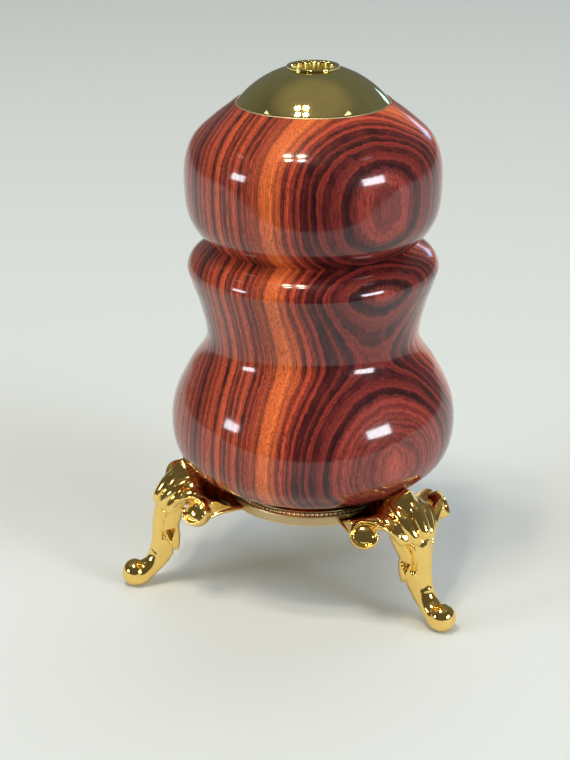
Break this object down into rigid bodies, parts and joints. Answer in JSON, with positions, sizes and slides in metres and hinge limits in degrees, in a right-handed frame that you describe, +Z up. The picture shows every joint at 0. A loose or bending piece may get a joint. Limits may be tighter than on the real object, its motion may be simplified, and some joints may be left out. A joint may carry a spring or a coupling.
{
  "type": "dip pen holder",
  "caption": "Turned hardwood pen stand with a brass dome, a fluted brass pen socket and a cast gold-plated tripod with scrolled leaf legs.",
  "frame": {"origin": "on the surface that the feet stand on, at the middle of the object's outline seen from above; the upright axis of the wood, the dome and the stand ring is at x = 0, y = -0.0054 m", "axes": "+Z up along the wood's axis; one leg points along +Y and the other two point forward at 30 degrees to either side of -Y's plane, towards -X and +X"},
  "size_m": [0.0666, 0.0649, 0.1002],
  "materials": {
    "rosewood": "gloss lacquer",
    "polished_brass": "polished",
    "gold_plate": "bright gold plate on a casting",
    "zinc_steel": "zinc plated",
    "felt": "felt"
  },
  "bodies": {
    "root": {"wood_body": "rosewood", "brass_dome": "polished_brass", "pen_bush": "polished_brass", "liner_tube": "polished_brass", "nib_pad": "felt", "stand_ring": "gold_plate", "leg_back": "gold_plate", "leg_front_left": "gold_plate", "leg_front_right": "gold_plate", "leg_screw_back": "zinc_steel", "leg_screw_front_left": "zinc_steel", "leg_screw_front_right": "zinc_steel", "clamp_washer": "zinc_steel", "centre_screw": "zinc_steel"}
  },
  "joints": []
}
